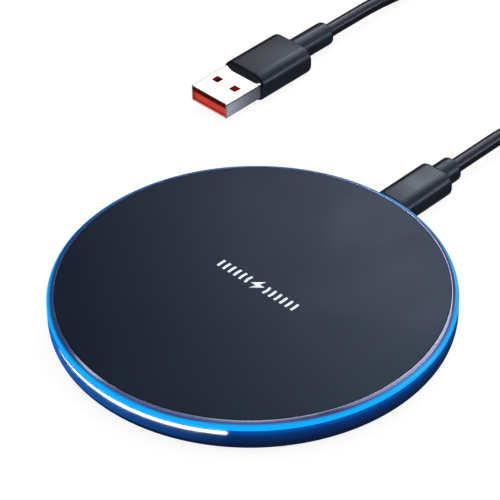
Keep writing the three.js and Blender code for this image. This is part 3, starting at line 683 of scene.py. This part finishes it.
def make_panel():
    bottom, top = panel_low.z, panel_high.z
    corners = [(0, bottom), (PANEL_RADIUS, bottom), (PANEL_RADIUS, top), (0, top)]
    return turned("panel", softened(corners, (0, 0.05 * MM, PANEL_EDGE, 0)))


def make_trim():
    low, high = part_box("trim_ring")
    inner = PANEL_RADIUS + SEAM
    corners = [(inner, low.z), (high.x, low.z), (high.x, high.z - CHAMFER_DROP), (inner + RIDGE_FLAT, high.z),
               (inner, high.z)]
    return turned("polished_ring", softened(corners, 0.01 * MM, steps=4), around=True)


settle(make_panel(), "pad", "panel_matte", "top_panel")
settle(make_trim(), "pad", "trim_polished", "trim_ring")
print("panel is", round(2000 * PANEL_RADIUS, 1), "mm across")

# %% Lit ring
SHOULDER_INNER = 44.09 * MM
SKIRT_OUTER = 43.5 * MM
SKIRT_INNER = 41.3 * MM
SEAT_GAP = 0.05 * MM
RING_CUT = (30 * MM, 50 * MM)


def port_bar(grow, start, end):
    """The port's slot shape as a bar along +Y, larger all round by grow."""
    low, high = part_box("receptacle_shell")
    width, height = high.x - low.x + 2 * grow, high.z - low.z + 2 * grow
    return prism("port_bar", outline(width, height, height / 2 - HAIR), start, end, (0, 0, PORT_Z))


def make_light_ring():
    """The outer shoulder is a quarter circle from the band's side to its top."""
    low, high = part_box("light_ring")
    width = high.x - SHOULDER_INNER
    seat, shelf = CASE_HIGH + SEAT_GAP, panel_low.z - SEAT_GAP
    a = np.linspace(0, pi / 2, 16)
    shoulder = np.stack([high.x - width + width * np.cos(a), high.z - width + width * np.sin(a)], axis=1)
    below = [(SKIRT_INNER, low.z), (SKIRT_OUTER, low.z), (SKIRT_OUTER, seat), (high.x, seat)]
    above = [(high.x - width, shelf), (SKIRT_INNER, shelf)]
    ring = turned("lit_ring", np.concatenate([below, shoulder, above]), around=True)
    return combined(ring, [port_bar(0.1 * MM, *RING_CUT)], "DIFFERENCE")


settle(make_light_ring(), "pad", "light_acrylic", "light_ring")
print("lit band is", round(1000 * (RING_HIGH - CASE_HIGH), 2), "mm high")

# %% Case and foot
FOOT_MIDDLE = 35.5 * MM
FOOT_HALF = 2.5 * MM
GROOVE_TOP = CASE_LOW + 0.55 * MM
WALL = 1.4 * MM
FLOOR_TOP = CASE_LOW + 1.2 * MM
UNDERCUT = 2.0 * MM
ROUNDING = 2.4 * MM
LIP = 0.06 * MM
POST_RADIUS = 2.35 * MM
HEAD_RADIUS = 1.75 * MM
HEAD_DEPTH = 1.75 * MM
SHANK_RADIUS = 0.95 * MM
SHANK_TOP = 5 * MM
CASE_CUT = (41.6 * MM, 46 * MM)


def round_bar(radius, bottom, top, middle):
    """A plain round bar that stands up, as a tool for a boolean."""
    return turned("bar", [(0, bottom), (radius, bottom), (radius, top), (0, top)], (*middle, 0), steps=48)


def make_case():
    """Outer wall: radius = widest - undercut (1 - sin a), height = base + rounding (1 - cos a)."""
    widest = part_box("bottom_case")[1].x
    a = np.linspace(0, pi / 2, 20)
    swell = np.stack([widest - UNDERCUT * (1 - np.sin(a)), CASE_LOW + ROUNDING * (1 - np.cos(a))], axis=1)
    underside = [(0, CASE_LOW), (FOOT_MIDDLE - FOOT_HALF, CASE_LOW), (FOOT_MIDDLE - FOOT_HALF, GROOVE_TOP),
                 (FOOT_MIDDLE + FOOT_HALF, GROOVE_TOP), (FOOT_MIDDLE + FOOT_HALF, CASE_LOW)]
    inside = [(widest, CASE_HIGH - LIP), (widest - LIP, CASE_HIGH), (widest - WALL, CASE_HIGH),
              (widest - WALL, FLOOR_TOP), (0, FLOOR_TOP)]
    case = turned("case", np.concatenate([underside, swell, inside]))
    screws = [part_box(f"case_screw_{i + 1}") for i in range(4)]
    middles = [((low.x + high.x) / 2, (low.y + high.y) / 2) for low, high in screws]
    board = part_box("main_board")[0].z
    posts = [round_bar(POST_RADIUS, FLOOR_TOP - 0.2 * MM, board - SEAT_GAP, middle) for middle in middles]
    heads = [round_bar(HEAD_RADIUS, 0, HEAD_DEPTH, middle) for middle in middles]
    shanks = [round_bar(SHANK_RADIUS, 0, SHANK_TOP, middle) for middle in middles]
    combined(case, posts, "UNION")
    return combined(case, [*heads, *shanks, port_bar(0.15 * MM, *CASE_CUT)], "DIFFERENCE")


def make_foot():
    low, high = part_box("foot_ring")
    inner = FOOT_MIDDLE - FOOT_HALF + 0.1 * MM
    corners = [(inner, low.z), (high.x, low.z), (high.x, high.z), (inner, high.z)]
    return turned("foot", softened(corners, (0.2 * MM, 0.2 * MM, 0.03 * MM, 0.03 * MM)), around=True)


case = settle(make_case(), "pad", "case_gloss", "bottom_case")
settle(make_foot(), "pad", "foot_silicone", "foot_ring")
print("case:", len(case.data.polygons), "faces")

# %% [markdown]
# ## A printed sign
#
# A charging pad carries a small print at its middle that shows where the phone goes. Here
# it is a plain sign: a bolt between waves. The waves are slices of rings, and the sheet of
# ink is given a thickness of a few hundredths of a millimetre so that it is a real, closed
# piece of geometry on the panel. The ink also glows a little, which is painted light.

# %% Charging sign
INK = 0.00002
SIGN_WIDTH = 22.3 * MM
SIGN_HEIGHT = 3.0 * MM
FIRST_WAVE = 2.9 * MM
WAVE_STROKE = 0.62 * MM
WAVES = 6
SIGN_MIDDLE = (0.6 * MM, 0.95 * MM)
BOLT = [(0.5, 1.3), (-1.15, -0.25), (-0.15, -0.25), (-0.5, -1.3), (1.15, 0.25), (0.15, 0.25)]


def wave_slice(radius, width, middle, half_angle, steps=20):
    """Two arcs about the origin, radius - width/2 and radius + width/2, joined by quads."""
    a = np.linspace(middle - half_angle, middle + half_angle, steps)
    arcs = np.array([radius - width / 2, radius + width / 2])[:, None]
    points = np.stack([arcs * np.cos(a), arcs * np.sin(a)], axis=-1).reshape(-1, 2)
    start = np.arange(steps - 1)
    return points, np.stack([start, start + 1, start + 1 + steps, start + steps], axis=1)


def make_sign():
    """A bolt of six corners with the same number of waves on each side of it."""
    h = SIGN_HEIGHT / 2
    shapes = [(np.array(BOLT) * h, [list(range(len(BOLT)))])]
    for middle in (0, pi):
        for radius in np.linspace(FIRST_WAVE, SIGN_WIDTH / 2, WAVES):
            shapes.append(wave_slice(radius, WAVE_STROKE, middle, np.arcsin(0.8 * h / radius)))
    points = np.concatenate([flat for flat, _ in shapes]) + SIGN_MIDDLE
    offsets = np.cumsum([0] + [len(flat) for flat, _ in shapes])
    faces = [[int(i + offset) for i in face] for (_, some), offset in zip(shapes, offsets) for face in some]
    heights = np.full((len(points), 1), panel_high.z + INK)
    sign = add_mesh("charging_sign", np.hstack([points, heights]), faces)
    modifier = sign.modifiers.new("thickness", "SOLIDIFY")
    modifier.thickness = INK
    modifier.offset = 0
    return sign


def make_ink_finish_with_painted_glow():
    # The ink's white emission is painted light that makes the print glow brighter than it is lit.
    tree = finish("sign_ink", roughness=0.5, base_color=(0.85, 0.87, 0.9), emission_color=(0.85, 0.9, 1.0),
                  emission_strength=0.75)
    bumped(tree, 0.000003, noise(tree, 0.0003, 4))


make_ink_finish_with_painted_glow()
sign = make_sign()
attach(sign, "pad")
sign.data.materials.append(FINISHES["sign_ink"])
print("sign is", round(1000 * SIGN_WIDTH, 1), "mm wide")

# %% [markdown]
# ## The plugs
#
# Each plug is a steel sleeve in a moulded grip, with a round sleeve behind it where the
# cord goes in. The grips have flat faces and fully rounded sides, and their ends are
# rolled over so that they catch a thin line of light.

# %% Grips and strain reliefs
ROLL_STEPS = 7
POCKET_DEPTH = 3 * MM
BORE_DEPTH = 2 * MM
BORE_GAP = 0.04 * MM


def middle_of(node):
    """A CAD node's box, with the middle of its width and height for a piece laid along Y."""
    low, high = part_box(node)
    return low, high, ((low.x + high.x) / 2, 0, (low.z + high.z) / 2)


def make_grip(name, node, corner, roll, pocket):
    """Inset at each end = roll (1 - sin a) at a distance of roll (1 - cos a) from it, and
    a pocket in the front face that the metal sleeve stands in."""
    low, high, centre = middle_of(node)
    size = (high.x - low.x, high.z - low.z)
    a = np.linspace(0, pi / 2, ROLL_STEPS)
    front_roll, back_roll = roll
    fronts = [outline(*(np.array(size) - 2 * i), corner - i) for i in front_roll * (1 - np.sin(a))]
    backs = [outline(*(np.array(size) - 2 * i), corner - i) for i in back_roll * (1 - np.sin(a[::-1]))]
    levels = [low.y + POCKET_DEPTH, low.y, *(low.y + front_roll * (1 - np.cos(a))),
              *(high.y - back_roll * (1 - np.cos(a[::-1])))]
    return lofted(name, [pocket, pocket, *fronts, *backs], levels, centre)


def make_relief(name, node, roll):
    """A round sleeve with a bore at its far end for the cord."""
    low, high, centre = middle_of(node)
    radius = (high.x - low.x) / 2
    bore = CORD_DIAMETER / 2 + BORE_GAP
    start, end, floor = low.y - 0.3 * MM, high.y, high.y - BORE_DEPTH
    corners = [(0, start), (radius, start), (radius, end), (bore, end), (bore, floor), (0, floor)]
    profile = softened(corners, (0, 0, roll, 0.1 * MM, 0, 0), steps=8)
    return turned(name, profile, centre, along="Y", steps=96)


small_grip = make_grip("small_grip", "usb_c_overmould", 2.8 * MM, (0.5 * MM, 0.9 * MM),
                       outline(8.54 * MM, 2.76 * MM, 1.37 * MM))
big_grip = make_grip("big_grip", "usb_a_overmould", 3.1 * MM, (0.6 * MM, 0.9 * MM),
                     outline(12.1 * MM, 4.6 * MM, 0.55 * MM))
small_relief = make_relief("small_relief", "usb_c_strain_relief", 0.8 * MM)
big_relief = make_relief("big_relief", "usb_a_strain_relief", 1.0 * MM)
for piece, node in ((small_grip, "usb_c_overmould"), (big_grip, "usb_a_overmould"),
                    (small_relief, "usb_c_strain_relief"), (big_relief, "usb_a_strain_relief")):
    settle(piece, "cable", "plug_moulding", node)
print("two grips and two strain reliefs made")

# %% Steel sleeves
SMALL_SHEET = 0.25 * MM
BIG_SHEET = 0.3 * MM
WINDOW = 2.2 * MM
WINDOW_ASIDE = 2.95 * MM
WINDOW_BACK = 6 * MM


def make_small_sleeve():
    low, high, centre = middle_of("usb_c_shell")
    width, height = high.x - low.x, high.z - low.z
    inner = (width - 2 * SMALL_SHEET, height - 2 * SMALL_SHEET)
    return sleeve("small_plug_sleeve", (width, height, height / 2 - HAIR),
                  (*inner, inner[1] / 2 - HAIR), low.y, high.y, centre, edge=0.05 * MM)


def make_big_sleeve():
    """The sleeve with its four latch windows, two above and two below."""
    low, high, centre = middle_of("usb_a_shell")
    width, height = high.x - low.x, high.z - low.z
    shell = sleeve("big_plug_sleeve", (width, height, 0.5 * MM),
                   (width - 2 * BIG_SHEET, height - 2 * BIG_SHEET, 0.25 * MM), low.y, high.y, centre)
    square = outline(WINDOW, WINDOW, 0.15 * MM)
    middles = [(centre[0] + side * WINDOW_ASIDE, low.y + WINDOW_BACK, 0) for side in (-1, 1)]
    windows = [prism("window", square, -1 * MM, 9 * MM, middle, along="Z") for middle in middles]
    return combined(shell, windows, "DIFFERENCE")


small_sleeve = settle(make_small_sleeve(), "cable", "steel_plain", "usb_c_shell")
big_sleeve = settle(make_big_sleeve(), "cable", "steel_plain", "usb_a_shell")
print("sleeves:", len(small_sleeve.data.polygons), "and", len(big_sleeve.data.polygons), "faces")

# %% Tongue and contacts of the big plug
SPRING_RISE = 0.15 * MM
SPRING_SHEET = 0.14 * MM


def make_tongue():
    """Its side view: a low tongue with a rolled front edge, and a block that fills the
    sleeve behind it."""
    low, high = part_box("usb_a_tongue")
    block_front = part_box("usb_a_contact_1")[1].y + 0.2 * MM
    top = low.z + TONGUE_THICKNESS
    roof = high.z - BLOCK_DROP
    side = [(low.y, low.z), (high.y, low.z), (high.y, roof), (block_front, roof), (block_front, top),
            (low.y, top)]
    profile = softened(side, (0.12 * MM, 0, 0, 0.1 * MM, 0.05 * MM, 0.35 * MM))
    inset = 0.06 * MM
    middle = profile.mean(axis=0)
    small = middle + (profile - middle) * 0.985
    points = stacked([small, profile, profile, small], [low.x, low.x + inset, high.x - inset, high.x],
                     (0, 0, 0), "X")
    rows, columns = points.shape[:2]
    faces = grid_faces(rows, columns, False).tolist()
    faces += [list(range(columns)), list(range((rows - 1) * columns, rows * columns))]
    return add_mesh("big_plug_tongue", points, faces)


def make_contact(index):
    """A flat spring that dips at its front and bows up behind: top = high + rise (sin 2 pi t
    over the first half - (1 - 4t)^2 over the first quarter)."""
    node = f"usb_a_contact_{index}"
    low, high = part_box(node)
    t = np.linspace(0, 1, 12)
    y = low.y + (high.y - low.y) * t
    rise = np.sin(pi * np.clip(t * 2, 0, 1)) - (1 - np.clip(t * 4, 0, 1)) ** 2
    top = high.z + SPRING_RISE * rise
    profile = np.concatenate([np.stack([y, top - SPRING_SHEET], 1), np.stack([y, top], 1)[::-1]])
    points = stacked([profile, profile], [low.x, high.x], (0, 0, 0), "X")
    columns = points.shape[1]
    faces = grid_faces(2, columns, False).tolist()
    faces += [list(range(columns)), list(range(columns, 2 * columns))]
    return settle(add_mesh(f"big_plug_contact_{index}", points, faces), "cable", "contact_gold", node)


tongue = settle(make_tongue(), "cable", "tongue_red", "usb_a_tongue")
contacts = [make_contact(index) for index in range(1, 5)]
print("tongue and", len(contacts), "contacts made")

# %% [markdown]
# ## The winding's strap
#
# A hook-and-loop strap holds the wound-up length together. It is one loop of tape round
# the bundle: a rounded rectangle with a wall, pulled out to the tape's width.

# %% Strap
STRAP_SHEET = 0.4 * MM
STRAP_CORNER = 1.6 * MM


def make_strap():
    low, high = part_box("winding_tie")
    length, height = high.y - low.y, high.z - low.z
    centre = (0, (low.y + high.y) / 2, (low.z + high.z) / 2)
    inner = (length - 2 * STRAP_SHEET, height - 2 * STRAP_SHEET, STRAP_CORNER - STRAP_SHEET)
    return sleeve("winding_strap", (length, height, STRAP_CORNER), inner, low.x, high.x, centre,
                  along="X", edge=0.06 * MM)


strap = settle(make_strap(), "cable", "tie_tape", "winding_tie")

# %% [markdown]
# ## Studio
#
# The pad lies on a plain white table under a wide ceiling softbox. Smaller softboxes stand
# behind it, where the camera meets their reflection in a level face: one for the panel, to
# the right, so the panel is lighter there, and one for each plug. One more lights the
# polished ring from the far side and a faint one the big plug from the left. The table is
# kept out of reflections, so upright walls stay dark.

# %% Table and light
TABLE_SIZE = 3.0
TABLE_GREY = 0.4
TABLE_GLOW = 0.9
SOFTBOX_DISTANCE = 0.45


def add_table():
    """A square sheet that glows, so that it stays white round the pad."""
    points = [(x * TABLE_SIZE / 2, y * TABLE_SIZE / 2, 0) for x, y in ((-1, -1), (1, -1), (1, 1), (-1, 1))]
    mesh = bpy.data.meshes.new("table")
    mesh.from_pydata(points, [], [(0, 1, 2, 3)])
    table = bpy.data.objects.new("table", mesh)
    bpy.context.collection.objects.link(table)
    material = bpy.data.materials.new("table_white")
    material.use_nodes = True
    shader = material.node_tree.nodes["Principled BSDF"]
    shader.inputs["Base Color"].default_value = (TABLE_GREY, TABLE_GREY, TABLE_GREY, 1)
    shader.inputs["Emission Color"].default_value = (1, 1, 1, 1)
    shader.inputs["Emission Strength"].default_value = TABLE_GLOW
    shader.inputs["Roughness"].default_value = 0.9
    shader.inputs["Specular IOR Level"].default_value = 0.1
    table.data.materials.append(material)
    table.visible_glossy = False


def add_softbox(name, place, aim, size, power):
    """A rectangular light at a place, facing its aim."""
    data = bpy.data.lights.new(name, "AREA")
    data.shape = "RECTANGLE"
    data.size, data.size_y = size
    data.energy = power
    light = bpy.data.objects.new(name, data)
    direction = Vector(aim) - Vector(place)
    light.matrix_world = Matrix.Translation(place) @ direction.to_track_quat("-Z", "Y").to_matrix().to_4x4()
    light.visible_camera = False
    bpy.context.collection.objects.link(light)


def add_world(strength):
    world = bpy.data.worlds.new("studio")
    world.use_nodes = True
    world.node_tree.nodes["Background"].inputs["Color"].default_value = (1, 1, 1, 1)
    world.node_tree.nodes["Background"].inputs["Strength"].default_value = strength
    bpy.context.scene.world = world


def mirrored(point, across=0):
    """A place that the camera sees reflected in a level surface at a point: along the line
    of sight with its height turned round, then aside, square to that line."""
    sight = (Vector(point) - CAMERA_PLACE).normalized()
    sight.z = -sight.z
    aside = sight.cross(Vector((0, 0, 1))).normalized()
    return Vector(point) + sight * SOFTBOX_DISTANCE + aside * across


PLUG_TOP = (PLUG_X, 0.052, 0.006)
GRIP_TOP = (0, 0.056, 0.0072)
PAD_TOP = (0, 0, panel_high.z)

add_table()
add_world(0.03)
add_softbox("ceiling", (0, 0, 1.5), (0, 0, 0), (1.8, 1.8), 6)
add_softbox("plug_softbox", mirrored(PLUG_TOP), PLUG_TOP, (0.12, 0.08), 0.066)
add_softbox("grip_softbox", mirrored(GRIP_TOP), GRIP_TOP, (0.07, 0.06), 0.11)
add_softbox("side_softbox", mirrored(PAD_TOP, 0.17), PAD_TOP, (0.24, 0.30), 0.38)
add_softbox("edge_softbox", (0.38, 0.36, 0.13), (-0.02, 0.06, 0.004), (0.30, 0.07), 0.45)
add_softbox("lip_softbox", (-0.34, -0.25, 0.28), PLUG_TOP, (0.12, 0.12), 0.03)
print("table, ceiling and five softboxes")

# %% [markdown]
# ### Reflection cards
#
# In a studio, glowing strips and cards are laid beside glossy things to draw their edges.
# An upright wall seen from above reflects only what lies on the table. So the streak on the
# case comes from a narrow curved card that lies there, with a blue one round it, and the
# big sleeve has one card for its side and one for its mouth. Their outlines follow from the
# camera's lines of sight, turned round at the wall. Two patches of sky serve the polished
# ring. Cards light nothing, and only reflections show them. A white dome that only the
# camera sees hides the table's end.

# %% Cards that only reflections see
CARD_HEIGHT = 0.15 * MM
STREAK_WIDTH = 0.98 * MM
STREAK_DROP = 0.75 * MM
SKY_RADIUS = 0.8
DOME_RADIUS = 4


def seen_on_card(points, normals, card_height=CARD_HEIGHT):
    """Each line of sight is turned round by the wall's normal at its point, and followed
    down to the card: point + turned sight * (card height - point's height) / its fall."""
    sight = points - np.array(CAMERA_PLACE)
    sight /= np.linalg.norm(sight, axis=-1, keepdims=True)
    sight -= 2 * (sight * normals).sum(axis=-1, keepdims=True) * normals
    return points + sight * ((card_height - points[..., 2]) / sight[..., 2])[..., None]


def add_card(name, points, colour, strengths):
    """A glowing sheet that lights nothing and shows only in glossy surfaces. Its glow runs
    from the first strength to the last across its columns."""
    rows, columns = points.shape[:2]
    mesh = bpy.data.meshes.new(name)
    faces = grid_faces(rows, columns, False).reshape(rows - 1, columns, 4)[:, :-1].reshape(-1, 4)
    mesh.from_pydata(points.reshape(-1, 3).tolist(), [], faces.tolist())
    glow = np.tile(np.interp(np.linspace(0, 1, columns), np.linspace(0, 1, len(strengths)), strengths), rows)
    mesh.attributes.new("glow", "FLOAT", "POINT").data.foreach_set("value", glow.astype(np.float32))
    material = bpy.data.materials.new(name)
    material.use_nodes = True
    nodes, links = material.node_tree.nodes, material.node_tree.links
    nodes.clear()
    emission, output = nodes.new("ShaderNodeEmission"), nodes.new("ShaderNodeOutputMaterial")
    attribute = nodes.new("ShaderNodeAttribute")
    attribute.attribute_name = "glow"
    emission.inputs["Color"].default_value = (*colour, 1)
    links.new(attribute.outputs["Fac"], emission.inputs["Strength"])
    links.new(emission.outputs["Emission"], output.inputs["Surface"])
    mesh.materials.append(material)
    card = bpy.data.objects.new(name, mesh)
    bpy.context.collection.objects.link(card)
    card.visible_camera = card.visible_diffuse = card.visible_shadow = False
    return card


def on_wall(degrees, heights):
    """Two rows of points on the case's wall, at angles and heights, and the normals there."""
    angle = np.radians(degrees)
    out = np.stack([np.cos(angle), np.sin(angle), np.zeros_like(angle)], axis=-1)
    points = np.broadcast_to(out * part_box("bottom_case")[1].x, (2, *out.shape)).copy()
    points[..., 2] = heights
    return points, out


def add_streak_card():
    """The streak on the wall: from a tip at -113 degrees to a round end at -52, with its
    middle level and its width growing as t^0.8 over the first half."""
    t = np.linspace(0, 1, 81)
    round_end = np.sqrt(1 - np.clip((t - 0.985) / 0.015, 0, 1) ** 2)
    width = STREAK_WIDTH * np.clip(t / 0.5, 0, 1) ** 0.8 * round_end
    heights = CASE_HIGH - STREAK_DROP + np.array([-0.5, 0.5])[:, None] * width
    add_card("streak_card", seen_on_card(*on_wall(-113 + 61 * t, heights)), (1, 1, 1), (10, 40, 70))


def add_wall_card():
    """A blue card for the glow that the case's left side shows from just over its foot to
    its shoulder, strongest in the right half of its run. It lies lower than the streak's."""
    heights = np.array([1.6 * MM, CASE_HIGH - 0.1 * MM])[:, None]
    wall = on_wall(np.linspace(-150, -50, 61), heights)
    add_card("wall_card", seen_on_card(*wall, CARD_HEIGHT / 2), (0.02, 0.23, 0.9),
             (0, 0.35, 1.1, 2.9, 4.6, 4, 0))


def add_sleeve_cards():
    """One card for the big sleeve's right side, bright at its mouth, and one for its mouth."""
    low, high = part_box("usb_a_shell")
    reach = 0.4 * MM
    y = np.linspace(low.y - reach, high.y, 12)
    z = np.array([low.z - 0.3 * MM, high.z + 0.2 * MM])
    side = np.stack(np.broadcast_arrays(high.x, y[None, :], z[:, None]), axis=-1)
    add_card("sleeve_side_card", seen_on_card(side, np.array([1, 0, 0])), (0.80, 0.86, 1.0),
             (0.5, 0.2, 0.04))
    x = np.linspace(low.x - reach, high.x + reach, 12)
    mouth = np.stack(np.broadcast_arrays(x[None, :], low.y, z[:, None]), axis=-1)
    add_card("sleeve_mouth_card", seen_on_card(mouth, np.array([0, -1, 0])), (0.85, 0.9, 1.0),
             (0.32, 0.45))


def sky_patch(radius, directions, heights):
    """A patch of a sphere: point = radius (cos b cos a, cos b sin a, sin b), for the
    directions a round the pad and the heights b over the table, in degrees."""
    a = np.radians(np.linspace(*directions, 40))[None, :]
    b = np.radians(np.linspace(*heights, 12))[:, None]
    points = np.broadcast_arrays(np.cos(b) * np.cos(a), np.cos(b) * np.sin(a), np.sin(b))
    return radius * np.stack(points, axis=-1)


def add_backdrop():
    """A white dome that only the camera sees, so the table has no dark horizon."""
    dome = add_card("backdrop", sky_patch(DOME_RADIUS, (-180, 180), (-8, 90)), (1, 1, 1), (1, 1))
    dome.visible_camera, dome.visible_glossy, dome.visible_transmission = True, False, False


add_streak_card()
add_wall_card()
add_sleeve_cards()
add_card("far_sky_card", sky_patch(SKY_RADIUS, (10, 122), (14, 66)), (0.86, 0.88, 1.0),
         (0.3, 0.45, 0.7, 1.0, 1.1))
add_card("near_sky_card", sky_patch(SKY_RADIUS, (205, 350), (6, 60)), (0.55, 0.6, 1.0),
         (0.1, 0.2, 0.2, 0.1))
add_backdrop()
bpy.context.scene.view_settings.view_transform = "Standard"
print("studio ready")
